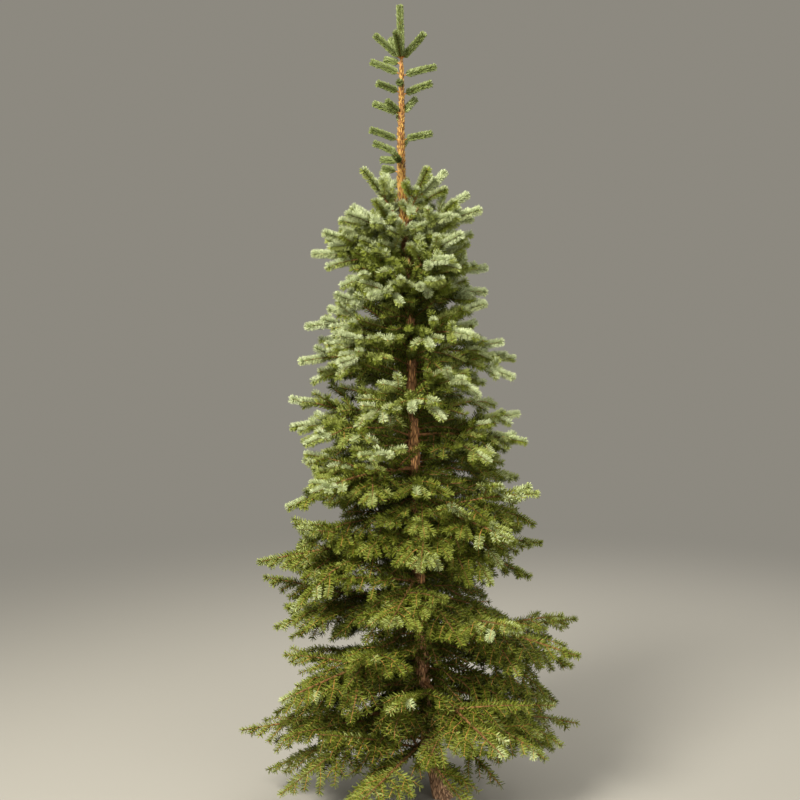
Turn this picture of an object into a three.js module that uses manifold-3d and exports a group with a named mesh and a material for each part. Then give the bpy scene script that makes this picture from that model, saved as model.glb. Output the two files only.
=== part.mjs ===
// A young white spruce about 2.4 m tall, rooted in the ground. One trunk runs from a flat cut at ground
// level to the foot of the topmost whorl. Short shoots stand along the bare leader, and below it tiers of
// branches ring the trunk. Each branch is a mass of foliage: a stem with arms to its sides, above and below,
// all clad in needles. The lowest branches start with a bare bough.
// Millimetres, +Z up. The origin is the middle of the cut under the trunk. +X is to the right and -Y is
// towards the viewer in the usual front view.
import * as THREE from "three";
import Module from "manifold-3d";

const wasm = await Module();
wasm.setup();

// Trunk
const TREE_TOP = 2400;
const TRUNK_TOP = 2250;
const TRUNK_TIP_RADIUS = 6;
const TRUNK_BUTT_RADIUS = 25;
const TAPER_POWER = 0.6;
const FLARE = 11;
const FLARE_HEIGHT = 45;
const ROOT_LOBES = 5;
const ROOT_LOBE_DEPTH = 0.3;
const SWEEP = 55; // how far the foot stands to the right of the stem above it
const SWEEP_HEIGHT = 150;
const LEAN = 0.033;
const LEADER_BEND = 12;
const LEADER_BEND_AT = 1900;
const LEADER_BEND_SPREAD = 220;
const DEPTH_BEND = 8;
const TRUNK_SIDES = 12;
const FLARE_RINGS = [0, 14, 34, 62, 105, 165];
const TRUNK_RING_STEP = 190;
const TRUNK_RODS = 30; // how many rods stand for the trunk where foliage is kept clear of it

// Tiers of branches, from the top down: height on the trunk, how many masses ring it, reach to the left,
// reach to the right, rise at the trunk and rise at the tip in degrees.
const TIERS = [
  [1740, 4, 138, 136, 60, 44],
  [1695, 3, 224, 226, 34, 12],
  [1620, 3, 284, 260, 20, 0],
  [1530, 3, 232, 228, 18, -4],
  [1435, 3, 300, 260, 16, -8],
  [1340, 2, 345, 330, 14, -10],
  [1240, 2, 400, 310, 12, -10],
  [1135, 2, 402, 345, 8, -10],
  [1030, 2, 455, 385, 6, -10],
  [920, 2, 455, 445, 4, -10],
  [815, 2, 486, 375, 0, -10],
  [700, 2, 495, 335, -2, -12],
  [590, 2, 500, 522, -3, -12],
  [480, 2, 500, 532, -3, -12],
  [375, 2, 515, 530, -2, -10],
  [275, 2, 562, 450, 0, -10],
  [190, 2, 545, 445, -1, -5],
];
const TIER_AZIMUTH = 30;
const TIER_TURN = 70;
const BOUGH_TIERS = 4; // how many of the lowest tiers start with a bare bough
const BOUGH_SHARE = 0.15;
const BOUGH_SIDES = 6;
const BOUGH_COLLAR = 1.5; // how much thicker a bough is where it leaves the trunk
const COLLAR_SHARE = 0.4; // how far along the bough the collar has mostly gone

// Each mass is a stem with arms. For each arm: its place along the stem, its turn to the side, its tilt above
// the stem, and its length as a share of the stem's. A mass is mirrored or not at random.
const ARMS = [
  [0.2, 38, 18, 0.76],
  [0.2, -38, -14, 0.76],
  [0.45, 44, -16, 0.43],
  [0.45, -44, 18, 0.43],
  [0.19, 78, 32, 0.38],
  [0.19, -78, -28, 0.38],
  [0.36, -10, -50, 0.28],
];
const SEED = 2024;
const CURVE_STEPS = 8;
const ARM_STEPS = 4;
const HEIGHT_SCATTER = 10;
const REACH_SCATTER = 0.04;
const SWING = 8;
const TURN_SCATTER = 6;
const TILT_SCATTER = 5;
const STEM_RADIUS = 2.4;
const STEM_RADIUS_PER_LENGTH = 0.009;
const ARM_RADIUS_SHARE = 0.6;
const BARE_SHARE = 0.14;
const ARM_FREE_FROM = 0.4; // beyond this share of its length an arm keeps off its own mass too
const OWN_REACH_SHARE = 0.5;
const SHORTEST_ARM = 60;
const TRIES = 6; // how often an arm is turned to find room before it is left out
const SHRINK = 0.94; // how much shorter it is at each try

// Needles, larger than life so that the crown looks full. Pairs go from the top tier to the lowest.
const NEEDLE_REACH = [21, 42];
const NEEDLE_STEP = [29, 54];
const NEEDLE_LEAN = 0.5; // how far a needle's tip leans forward, as a share of the step
const CORE_SHARE = 0.2;
const UNDERSIDE_SHARE = 0.8;
const NEEDLE_SIDES = 4;
const LAST_NEEDLES_SHARE = 0.8; // the needles nearest the tip are a little shorter
const BARE_TAPER = 0.9; // the stem's radius where its needles start, as a share of that at its foot

// Short shoots on the leader: height, azimuth, length and rise in degrees
const LEADER_SHOOTS = [
  [2200, 172, 92, 27],
  [2196, 12, 100, 20],
  [2146, 196, 72, 24],
  [2140, -14, 88, 24],
  [2084, 164, 84, 26],
  [2082, 38, 66, 48],
  [2006, 188, 88, 24],
  [2009, 6, 84, 17],
  [1966, 168, 80, 28],
  [1940, 255, 70, 20],
];
const SHOOT_DROOP = 8;
const SHOOT_BARE_LENGTH = 6;
const SHOOT_TWIG_RADIUS = 2.5;
const TIP_SHOOTS = 5;
const TIP_SHOOT_LENGTH = 104;
const TIP_SHOOT_RISE = 44;
const TIP_SHOOT_AZIMUTH = 186;
const TIP_SHOOT_HEIGHT = 7;
const TIP_BARE_SHARE = 0.12;
const LEADER_NEEDLES = { needleReach: 14.5, needleStep: 16, sides: 6, coreShare: 0.36 };

const GAP = 0.3;
const NEIGHBOUR_GAP = 1;
const GROUND_CLEARANCE = 50;

const UP = new THREE.Vector3(0, 0, 1);
const radians = THREE.MathUtils.degToRad;
const mix = THREE.MathUtils.lerp;

// A repeatable stream of numbers from 0 to 1.
function seeded(seed) {
  let state = (seed * 2654435 + 97) >>> 0;
  const next = () => {
    state = (Math.imul(state, 1664525) + 1013904223) >>> 0;
    return state / 4294967296;
  };
  next();
  next();
  return next;
}

const scatter = (random) => 2 * random() - 1;

// Trunk shape

function trunkCentre(z) {
  const bend = LEADER_BEND * Math.exp(-(((z - LEADER_BEND_AT) / LEADER_BEND_SPREAD) ** 2));
  const x = -SWEEP * (1 - Math.exp(-z / SWEEP_HEIGHT)) - LEAN * z - bend;
  const y = DEPTH_BEND * Math.sin((Math.PI * z) / TREE_TOP);
  return new THREE.Vector3(x, y, z);
}

function trunkRadius(z, angle = 0) {
  const left = Math.max(0, 1 - z / TRUNK_TOP);
  const taper = mix(TRUNK_TIP_RADIUS, TRUNK_BUTT_RADIUS, left ** TAPER_POWER);
  const lobes = 1 + ROOT_LOBE_DEPTH * Math.cos(ROOT_LOBES * angle);
  return taper + FLARE * Math.exp(-z / FLARE_HEIGHT) * lobes;
}

// Solids from rings of points

// A closed solid through rings of points, ended by a flat face or, where apex is given, by a point.
// isHigh says which points stand out, so that each quad is split along the pair that doesn't.
function ringSolid(rings, apex = null, isHigh = () => false) {
  const sides = rings[0].length;
  const points = rings.flat();
  const faces = [];
  for (let ring = 0; ring + 1 < rings.length; ring++) {
    for (let side = 0; side < sides; side++) {
      const nextSide = (side + 1) % sides;
      const [a, b] = [ring * sides + side, ring * sides + nextSide];
      const [c, d] = [b + sides, a + sides];
      if (isHigh(ring, side) || isHigh(ring + 1, nextSide)) faces.push([a, b, d], [b, c, d]);
      else faces.push([a, b, c], [a, c, d]);
    }
  }
  for (let side = 1; side + 1 < sides; side++) faces.push([0, side + 1, side]);
  const last = (rings.length - 1) * sides;
  if (apex) {
    const tip = points.push(apex) - 1;
    for (let side = 0; side < sides; side++) faces.push([last + side, last + ((side + 1) % sides), tip]);
  } else {
    for (let side = 1; side + 1 < sides; side++) faces.push([last, last + side, last + side + 1]);
  }
  const vertProperties = new Float32Array(points.flatMap((p) => [p.x, p.y, p.z]));
  const triVerts = new Uint32Array(faces.flat());
  return new wasm.Manifold(new wasm.Mesh({ numProp: 3, vertProperties, triVerts }));
}

// A ring of points round a centre, with one radius for each point.
function ringAt(centre, side, lift, radii) {
  return radii.map((radius, i) => {
    const angle = (2 * Math.PI * i) / radii.length;
    return centre
      .clone()
      .addScaledVector(side, radius * Math.cos(angle))
      .addScaledVector(lift, radius * Math.sin(angle));
  });
}

// The trunk, or with grow the space round it that other pieces keep out of.
function trunkSolid(grow = 0) {
  const heights = [...FLARE_RINGS];
  const firstStep = FLARE_RINGS.at(-1) + TRUNK_RING_STEP;
  for (let z = firstStep; z < TRUNK_TOP - TRUNK_RING_STEP / 2; z += TRUNK_RING_STEP) heights.push(z);
  heights.push(TRUNK_TOP);
  const x = new THREE.Vector3(1, 0, 0);
  const y = new THREE.Vector3(0, 1, 0);
  const rings = heights.map((z) => {
    const radii = Array.from({ length: TRUNK_SIDES }, (_, i) => {
      const angle = (2 * Math.PI * i) / TRUNK_SIDES;
      return trunkRadius(z, angle) + grow;
    });
    return ringAt(trunkCentre(z), x, y, radii);
  });
  if (grow) {
    rings[0].forEach((p) => (p.z -= grow));
    rings.at(-1).forEach((p) => (p.z += grow));
  }
  return ringSolid(rings);
}

// Curves

// A curve that leaves its base at one rise and ends at another, turning sideways by swing on the way.
function limbCurve(base, azimuth, swing, length, startRise, endRise, steps = ARM_STEPS) {
  const points = [base.clone()];
  for (let i = 0; i < steps; i++) {
    const t = (i + 0.5) / steps;
    const rise = radians(mix(startRise, endRise, t));
    const turn = radians(azimuth + swing * t);
    const level = new THREE.Vector3(Math.cos(turn), Math.sin(turn), 0).multiplyScalar(Math.cos(rise));
    const step = level.addScaledVector(UP, Math.sin(rise)).multiplyScalar(length / steps);
    points.push(points.at(-1).clone().add(step));
  }
  return points;
}

function pointOn(curve, t) {
  const place = Math.min(t * (curve.length - 1), curve.length - 1 - 1e-9);
  const i = Math.floor(place);
  return curve[i].clone().lerp(curve[i + 1], place - i);
}

function directionOn(curve, t) {
  const reach = 0.5 / (curve.length - 1);
  const ahead = pointOn(curve, Math.min(1, t + reach));
  return ahead.sub(pointOn(curve, Math.max(0, t - reach))).normalize();
}

const curveLength = (curve) => curve.slice(1).reduce((sum, p, i) => sum + p.distanceTo(curve[i]), 0);

// The two axes square to a direction: a level one to its left and one above it.
function crossAxes(direction) {
  const level = new THREE.Vector3().crossVectors(UP, direction);
  const side = level.lengthSq() > 1e-6 ? level.normalize() : new THREE.Vector3(1, 0, 0);
  return [side, new THREE.Vector3().crossVectors(direction, side).normalize()];
}

// A shoot along a curve: a bare stretch of twig, then a slim core whose needles stand out by turns to the
// sides and above and below, each leaning towards the tip, and a pointed end.
function shootSolid(curve, look) {
  const { startRadius, bareRadius, bareShare, needleReach, needleStep } = look;
  const { sides = NEEDLE_SIDES, coreShare = CORE_SHARE } = look;
  const count = Math.max(3, Math.round((curveLength(curve) * (1 - bareShare)) / needleStep));
  const bare = bareShare > 0 ? [0, bareShare] : [0];
  const clad = Array.from({ length: count - 1 }, (_, i) => mix(bareShare, 1, (i + 1) / count));
  const places = [...bare, ...clad];
  const isHigh = (ring, i) => ring >= bare.length && (ring + i) % 2 === 0;
  const core = needleReach * coreShare;
  const rings = places.map((t, ring) => {
    const direction = directionOn(curve, t);
    const [side, lift] = crossAxes(direction);
    const fade = ring === places.length - 1 ? LAST_NEEDLES_SHARE : 1;
    const radii = Array.from({ length: sides }, (_, i) => {
      if (ring < bare.length) return ring === 0 ? startRadius : bareRadius;
      if (!isHigh(ring, i)) return core * fade;
      const isUnder = Math.sin((2 * Math.PI * i) / sides) < 0;
      return needleReach * fade * (isUnder ? UNDERSIDE_SHARE : 1);
    });
    const points = ringAt(pointOn(curve, t), side, lift, radii);
    points.forEach((p, i) => isHigh(ring, i) && p.addScaledVector(direction, NEEDLE_LEAN * needleStep));
    return points;
  });
  return ringSolid(rings, pointOn(curve, 1), isHigh);
}

// Space that a piece fills, as round-ended rods, so that foliage keeps clear of other foliage

function rodsAlong(curve, from, to, radius, parts) {
  return Array.from({ length: parts }, (_, i) => ({
    a: pointOn(curve, mix(from, to, i / parts)),
    b: pointOn(curve, mix(from, to, (i + 1) / parts)),
    radius,
  }));
}

function rodDistance(p, q) {
  const u = p.b.clone().sub(p.a);
  const v = q.b.clone().sub(q.a);
  const w = p.a.clone().sub(q.a);
  const [uu, uv, vv, uw, vw] = [u.dot(u), u.dot(v), v.dot(v), u.dot(w), v.dot(w)];
  const spread = uu * vv - uv * uv;
  let s = spread > 1e-9 ? THREE.MathUtils.clamp((uv * vw - vv * uw) / spread, 0, 1) : 0;
  let t = (uv * s + vw) / vv;
  if (t < 0 || t > 1) {
    t = THREE.MathUtils.clamp(t, 0, 1);
    s = THREE.MathUtils.clamp((uv * t - uw) / uu, 0, 1);
  }
  return p.a.clone().addScaledVector(u, s).distanceTo(q.a.clone().addScaledVector(v, t));
}

const isApart = (p, q) => rodDistance(p, q) > p.radius + q.radius + NEIGHBOUR_GAP;
const isAboveGround = (p) => Math.min(p.a.z, p.b.z) - p.radius > GROUND_CLEARANCE;
const hasRoom = (rods, taken) => rods.every((p) => isAboveGround(p) && taken.every((q) => isApart(p, q)));

// The layout of the masses, worked out before any solid is made

function planMasses() {
  const masses = [];
  TIERS.forEach(([height, count, left, right, startRise, endRise], tier) => {
    const down = tier / (TIERS.length - 1);
    for (let place = 0; place < count; place++) {
      const random = seeded(SEED + tier * 10 + place);
      const azimuth = TIER_AZIMUTH + TIER_TURN * tier + (360 * place) / count;
      const side = (1 + Math.cos(radians(azimuth))) / 2;
      const reach = mix(left, right, side) * (1 + REACH_SCATTER * scatter(random));
      const length = reach / Math.cos(radians((startRise + endRise) / 2));
      const swing = SWING * scatter(random);
      const base = trunkCentre(height + HEIGHT_SCATTER * scatter(random));
      masses.push({
        name: String(tier + 1).padStart(2, "0") + "abcd"[place],
        tier,
        random,
        azimuth,
        length,
        startRise,
        endRise,
        lead: limbCurve(base, azimuth, swing, length, startRise, endRise, CURVE_STEPS),
        hasBough: tier >= TIERS.length - BOUGH_TIERS,
        stemRadius: STEM_RADIUS + STEM_RADIUS_PER_LENGTH * length,
        needleReach: mix(...NEEDLE_REACH, down),
        needleStep: mix(...NEEDLE_STEP, down),
        hand: random() < 0.5 ? 1 : -1,
        arms: [],
      });
    }
  });
  return masses;
}

// The first of a few tries that has room among what is there already.
function firstWithRoom(makeCurve, mass, masses) {
  const taken = [...trunkRods, ...masses.filter((m) => m !== mass).flatMap((m) => m.rods)];
  const ownReach = mass.needleReach * OWN_REACH_SHARE;
  for (let attempt = 0; attempt < TRIES; attempt++) {
    const curve = makeCurve(attempt);
    const rods = rodsAlong(curve, 0.1, 1, mass.needleReach, ARM_STEPS);
    const ownRods = rodsAlong(curve, ARM_FREE_FROM, 1, ownReach, 2);
    if (hasRoom(rods, taken) && hasRoom(ownRods, mass.ownRods)) {
      mass.rods.push(...rods);
      mass.ownRods.push(...ownRods);
      return curve;
    }
  }
  return null;
}

function addArm(mass, [place, turn, tilt, share], masses) {
  const { lead, azimuth, length, startRise, endRise, random } = mass;
  const base = pointOn(lead, place);
  const curve = firstWithRoom(
    (attempt) => {
      const wander = 1 + attempt;
      const heading = azimuth + mass.hand * turn + TURN_SCATTER * wander * scatter(random);
      const lift = tilt + TILT_SCATTER * wander * scatter(random);
      const reach = Math.max(SHORTEST_ARM, length * share * SHRINK ** attempt);
      const swing = -SWING * mass.hand * Math.sign(turn);
      return limbCurve(base, heading, swing, reach, startRise + lift, endRise + lift, ARM_STEPS);
    },
    mass,
    masses,
  );
  if (curve) mass.arms.push(curve);
}

// Every stem takes its space first, then each arm in turn on all of them.
function planTree() {
  const masses = planMasses();
  for (const mass of masses) {
    mass.rods = rodsAlong(mass.lead, BARE_SHARE, 1, mass.needleReach, CURVE_STEPS);
    mass.rods.push(...rodsAlong(mass.lead, 0, BARE_SHARE, mass.stemRadius, 1));
    mass.ownRods = rodsAlong(mass.lead, BARE_SHARE, 1, mass.needleReach * OWN_REACH_SHARE, CURVE_STEPS);
  }
  for (const arm of ARMS) masses.forEach((mass) => addArm(mass, arm, masses));
  return masses;
}

// Pieces

const keepLargest = (solid) => solid.decompose().reduce((a, b) => (b.volume() > a.volume() ? b : a));

const trunk = trunkSolid();
const trunkSpace = trunkSolid(GAP);
const trunkRods = Array.from({ length: TRUNK_RODS }, (_, i) => {
  const [low, high] = [i, i + 1].map((rod) => (rod * TRUNK_TOP) / TRUNK_RODS);
  return { a: trunkCentre(low), b: trunkCentre(high), radius: trunkRadius((low + high) / 2) };
});

function boughSolid(mass) {
  const rings = [0, COLLAR_SHARE, 1].map((share) => {
    const t = share * BOUGH_SHARE;
    const [side, lift] = crossAxes(directionOn(mass.lead, t));
    const radius = mass.stemRadius * mix(BOUGH_COLLAR, 1, Math.sqrt(share));
    return ringAt(pointOn(mass.lead, t), side, lift, Array(BOUGH_SIDES).fill(radius));
  });
  return keepLargest(ringSolid(rings).subtract(trunkSpace));
}

function foliageSolid(mass) {
  const start = mass.hasBough ? BOUGH_SHARE + GAP / mass.length : 0;
  const stem = Array.from({ length: CURVE_STEPS + 1 }, (_, i) =>
    pointOn(mass.lead, mix(start, 1, i / CURVE_STEPS)),
  );
  const needles = { needleReach: mass.needleReach, needleStep: mass.needleStep };
  const lead = shootSolid(stem, {
    ...needles,
    startRadius: mass.stemRadius,
    bareRadius: mass.stemRadius * BARE_TAPER,
    bareShare: mass.hasBough ? 0 : BARE_SHARE,
  });
  const armRadius = mass.stemRadius * ARM_RADIUS_SHARE;
  const arms = mass.arms.map((curve) =>
    shootSolid(curve, { ...needles, startRadius: armRadius, bareShare: 0 }),
  );
  return keepLargest(wasm.Manifold.union([lead, ...arms]).subtract(trunkSpace));
}

function leaderShootSolid([height, azimuth, length, rise]) {
  const radius = trunkRadius(height);
  const curve = limbCurve(trunkCentre(height), azimuth, 0, length + radius, rise, rise - SHOOT_DROOP);
  const shoot = shootSolid(curve, {
    ...LEADER_NEEDLES,
    startRadius: SHOOT_TWIG_RADIUS,
    bareRadius: SHOOT_TWIG_RADIUS,
    bareShare: (radius + SHOOT_BARE_LENGTH) / length,
  });
  return keepLargest(shoot.subtract(trunkSpace));
}

// The top of the tree: the upright end shoot with the topmost whorl of short shoots round its foot.
function leaderTipSolid() {
  const foot = trunkCentre(TRUNK_TOP).setZ(TRUNK_TOP + GAP);
  const top = trunkCentre(TREE_TOP);
  const middle = foot.clone().setZ((foot.z + top.z) / 2);
  const upright = shootSolid([foot, middle, top], {
    ...LEADER_NEEDLES,
    startRadius: TRUNK_TIP_RADIUS,
    bareRadius: TRUNK_TIP_RADIUS * BARE_TAPER,
    bareShare: TIP_BARE_SHARE,
  });
  const whorl = Array.from({ length: TIP_SHOOTS }, (_, i) => {
    const azimuth = TIP_SHOOT_AZIMUTH + (360 * i) / TIP_SHOOTS;
    const base = foot.clone().addScaledVector(UP, TIP_SHOOT_HEIGHT);
    const curve = limbCurve(base, azimuth, 0, TIP_SHOOT_LENGTH, TIP_SHOOT_RISE, TIP_SHOOT_RISE);
    return shootSolid(curve, {
      ...LEADER_NEEDLES,
      startRadius: SHOOT_TWIG_RADIUS,
      bareRadius: SHOOT_TWIG_RADIUS,
      bareShare: TIP_BARE_SHARE,
    });
  });
  return keepLargest(wasm.Manifold.union([upright, ...whorl]));
}

// Scene graph

const BARK = { color: 0x8a5a3c, roughness: 0.9, metalness: 0 };
const BOUGH_BARK = { color: 0x7a5236, roughness: 0.9, metalness: 0 };
const DEEP_GREEN = { color: 0x46613a, roughness: 0.7, metalness: 0 };
const PALE_GREEN = { color: 0x8fa98a, roughness: 0.7, metalness: 0 };
const LEADER_GREEN = { color: 0x7f9a5e, roughness: 0.7, metalness: 0 };
const PALE_TIERS = 9;

function meshOf(name, solid, finish) {
  const made = solid.simplify(0.02).getMesh();
  const positions = new Float32Array(made.numVert * 3);
  for (let i = 0; i < made.numVert; i++) {
    const at = i * made.numProp;
    positions.set(made.vertProperties.subarray(at, at + 3), i * 3);
  }
  const geometry = new THREE.BufferGeometry()
    .setAttribute("position", new THREE.BufferAttribute(positions, 3))
    .setIndex(new THREE.BufferAttribute(new Uint32Array(made.triVerts), 1));
  geometry.computeVertexNormals();
  const mesh = new THREE.Mesh(geometry, new THREE.MeshStandardMaterial({ ...finish, flatShading: true }));
  mesh.name = name;
  return mesh;
}

const tree = new THREE.Group();
tree.name = "white_spruce";
tree.add(meshOf("trunk", trunk, BARK));
tree.add(meshOf("leader_tip", leaderTipSolid(), LEADER_GREEN));
LEADER_SHOOTS.forEach((shoot, i) => {
  const name = "leader_shoot_" + String(i + 1).padStart(2, "0");
  tree.add(meshOf(name, leaderShootSolid(shoot), LEADER_GREEN));
});
for (const mass of planTree()) {
  const finish = mass.tier < PALE_TIERS ? PALE_GREEN : DEEP_GREEN;
  tree.add(meshOf("foliage_" + mass.name, foliageSolid(mass), finish));
  if (mass.hasBough) tree.add(meshOf("bough_" + mass.name, boughSolid(mass), BOUGH_BARK));
}

export default tree;
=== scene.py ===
"""A young white spruce, 2.4 m tall: bark, boughs, twigs, buds and needles grown on its frame.

The branches follow the same rule as the solids do: tiers of stems round one trunk, each with arms that
keep out of each other's space. Here they carry on into side twigs, and every twig is clad in needles.
Sizes in the plan are in millimetres, and each mesh is made in metres.
"""
import math
from dataclasses import dataclass, field, replace
from functools import cache

import bmesh
import bpy
import numpy as np
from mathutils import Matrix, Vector


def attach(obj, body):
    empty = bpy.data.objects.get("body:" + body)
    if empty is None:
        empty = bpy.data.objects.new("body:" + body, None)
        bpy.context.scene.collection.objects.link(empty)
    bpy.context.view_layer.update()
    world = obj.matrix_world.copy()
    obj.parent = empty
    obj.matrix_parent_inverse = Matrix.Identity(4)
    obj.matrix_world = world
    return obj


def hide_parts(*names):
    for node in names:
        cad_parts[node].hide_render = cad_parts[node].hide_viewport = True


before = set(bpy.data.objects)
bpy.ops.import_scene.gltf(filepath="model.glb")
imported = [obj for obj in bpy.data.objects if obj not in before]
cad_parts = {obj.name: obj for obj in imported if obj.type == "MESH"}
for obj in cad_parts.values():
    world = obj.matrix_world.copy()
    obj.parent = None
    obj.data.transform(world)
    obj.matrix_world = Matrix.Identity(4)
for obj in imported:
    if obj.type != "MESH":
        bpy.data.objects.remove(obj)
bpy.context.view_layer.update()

MM = 0.001
UP = np.array([0.0, 0.0, 1.0])

# Trunk
TREE_TOP = 2400
TRUNK_TOP = 2250
TRUNK_TIP_RADIUS = 6
TRUNK_BUTT_RADIUS = 25
TAPER_POWER = 0.6
FLARE = 11
FLARE_HEIGHT = 45
ROOT_LOBES = 5
ROOT_LOBE_DEPTH = 0.3
SWEEP = 55
SWEEP_HEIGHT = 150
LEAN = 0.033
LEADER_BEND = 12
LEADER_BEND_AT = 1900
LEADER_BEND_SPREAD = 220
DEPTH_BEND = 8

# Tiers of branches, from the top down: height on the trunk, how many masses ring it, reach to the left,
# reach to the right, rise at the trunk and rise at the tip in degrees.
TIERS = [
    (1740, 4, 138, 136, 60, 44),
    (1695, 3, 224, 226, 34, 12),
    (1620, 3, 284, 260, 20, 0),
    (1530, 3, 232, 228, 18, -4),
    (1435, 3, 300, 260, 16, -8),
    (1340, 2, 345, 330, 14, -10),
    (1240, 2, 400, 310, 12, -10),
    (1135, 2, 402, 345, 8, -10),
    (1030, 2, 455, 385, 6, -10),
    (920, 2, 455, 445, 4, -10),
    (815, 2, 486, 375, 0, -10),
    (700, 2, 495, 335, -2, -12),
    (590, 2, 500, 522, -3, -12),
    (480, 2, 500, 532, -3, -12),
    (375, 2, 515, 530, -2, -10),
    (275, 2, 562, 450, 0, -10),
    (190, 2, 545, 445, -1, -5),
]
TIER_AZIMUTH = 30
TIER_TURN = 70
BOUGH_TIERS = 4

# Arms of each mass: place along the stem, turn to the side, tilt above it, length as a share of the stem's
ARMS = [
    (0.2, 38, 18, 0.76),
    (0.2, -38, -14, 0.76),
    (0.45, 44, -16, 0.43),
    (0.45, -44, 18, 0.43),
    (0.19, 78, 32, 0.38),
    (0.19, -78, -28, 0.38),
    (0.36, -10, -50, 0.28),
]
SEED = 2024
CURVE_STEPS = 8
ARM_STEPS = 4
HEIGHT_SCATTER = 10
REACH_SCATTER = 0.04
SWING = 8
TURN_SCATTER = 6
TILT_SCATTER = 5
STEM_RADIUS = 2.4
STEM_RADIUS_PER_LENGTH = 0.009
ARM_RADIUS_SHARE = 0.6
BARE_SHARE = 0.14
ARM_FREE_FROM = 0.4
OWN_REACH_SHARE = 0.5
SHORTEST_ARM = 60
TRIES = 6
SHRINK = 0.94
SPACE_REACH = (21, 42)  # the space round each limb, at the top tier and at the lowest
NEIGHBOUR_GAP = 1
GROUND_CLEARANCE = 50
TRUNK_RODS = 30

# Short shoots on the leader: height, azimuth, length and rise in degrees
LEADER_SHOOTS = [
    (2200, 172, 92, 27),
    (2196, 12, 100, 20),
    (2146, 196, 72, 24),
    (2140, -14, 88, 24),
    (2084, 164, 84, 26),
    (2082, 38, 66, 48),
    (2006, 188, 88, 24),
    (2009, 6, 84, 17),
    (1966, 168, 80, 28),
    (1940, 255, 70, 20),
]
SMALL_LEADER_SHOOTS = [
    (2231, 150, 52, 20),
    (2168, 262, 44, 10),
    (2083, 214, 56, 40),
    (1946, 150, 59, 12),
    (1914, 176, 46, 19),
    (2060, 96, 60, 30),
    (1985, 80, 66, 26),
]
SHOOT_DROOP = 8
TIP_SHOOTS = 5
TIP_SHOOT_LENGTH = 104
TIP_SHOOT_RISE = 41
TIP_SHOOT_AZIMUTH = 186
TIP_SHOOT_HEIGHT = -5
NEEDLES_PAST_TIP = 12

# The wood of the branches
STEM_POINTS = 14
STEM_TIP_SHARE = 0.24  # a stem's radius at its tip, as a share of its radius at the foot
LIMB_TIP_RADIUS = 1.2
ARM_BARE_SHARE = 0.06
TOP_BARE_SHARE = 0.34
TOP_ARMS = 2  # the top tier is so open that its other arms are left out

# Side twigs. Pairs go from the top tier to the lowest.
NODE_GAP = (100, 48)  # from one pair of side twigs to the next
LONGEST_TWIG = (125, 130)
TWIG_SHARE = (0.70, 0.64)  # a side twig's length as a share of the limb beyond it
SHORTEST_TWIG = 26
TWIG_RADIUS = (2.0, 0.9)
TWIG_TIP_RADIUS = 0.8
TWIG_SPREAD = 48
TWIG_TILTS = {"cool": (8, -14, 34, 6, -30, 52, -4, 22), "warm": (-6, -16, -2, -22, -10, 8, -26, -14)}
TWIG_BEND = (0.16, -0.62)
LOWEST_TWIG = 35
FORK_FROM = (88, 110)  # twigs longer than this fork once more
FORK_AT = 56
SPUR_GAP = 44  # between the short spurs on the outer part of the upper limbs
SPUR_LENGTH = (20, 34)
SPURS_ABOVE = 0.62
SPURS_FROM_EXPOSURE = 0.42
BUDS_FROM_EXPOSURE = 0.7

# This year's growth and the tints. Pairs go from the top tier to the lowest.
NEW_ON_LIMB = (76, 36)
NEW_ON_TWIG = (52, 26)
OLD_STRETCH = 70  # older needles are dealt their tints in stretches of about this length
PALE_TIPS = 0.11  # how many shoots are pale at any height
PALE_TIP = 0.9
PALE_HEIGHTS = (350, 1250)  # the outside of the crown turns pale from one height to the other
TOP_HEIGHTS = (1740, 1800)  # and greener again from one to the other
# older needles are painted lighter from one height down to the other, as painted light near the ground
LOW_HEIGHTS = (500, 200)
TINT_SPREAD = 0.17  # each spray is half lighter and half darker needles, this far from its own tint
BRUSH_PAINTED_LIGHT_AND_SHADE = [(-0.23, -90), (0.13, 90)]  # a full brush is painted darker underneath and lighter on top, as painted shade and painted light: step and facing

# What is kept clear in front of the trunk: half width, from one height to another
WINDOWS = [(58, 0, 150), (34, 375, 465), (30, 545, 575), (34, 700, 745), (32, 1064, 1190), (30, 1231, 1358),
           (24, 1610, 1700)]
WINDOW_DEPTH = 20

# Short twigs round the trunk
TRUNK_TWIGS = 460
TRUNK_TWIG_LENGTH = (110, 280)
TRUNK_TWIG_HEIGHTS = (230, 1680)
TRUNK_TWIG_TURN = 137.5
TRUNK_TWIG_RISE = (0, 26)
THIN_AHEAD = 34  # in degrees from straight ahead, where fewer twigs hide the trunk
THIN_SHARE = 0.4

# Lesser branches between the masses of a tier, which droop more the lower they grow
BETWEEN_RING = (13, 14)
BETWEEN_TOP_RING = 2
BETWEEN_DROP = 100
BETWEEN_REACH = (0.5, 0.97)
BETWEEN_RISE = (8, 6)
BETWEEN_DROOP = 42
BETWEEN_RADIUS_PER_LENGTH = 0.004
LOWEST_BASE = 150
LOWEST_LIMB = 75
CLEAR_BELOW = 900  # below this height none grows within a few degrees of straight ahead
CLEAR_AHEAD = 13
FOOT_BELOW = 300
CLEAR_AHEAD_AT_FOOT = 34

# Old needles that stand up along the leader. Pairs go from its foot to its top.
PEG_COUNTS = {"pegs_gold": 1100, "pegs_brown": 800}
PEG_HEIGHTS = (1765, 2240)
PEG_LENGTH = (14, 7.5)
PEG_LEAN = (30, 18)
PEG_WIDTH = 2.8

# Stage
SKY_COLOUR = (0.80, 0.79, 0.76)
SKY_STRENGTH = 0.62
BACKDROP_COLOUR = (0.265, 0.250, 0.215)
FLOOR_COLOUR = (0.30, 0.285, 0.245)
FLOOR_RADIUS = 60
FLOOR_FADE = (1.2, 4.4)
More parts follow.
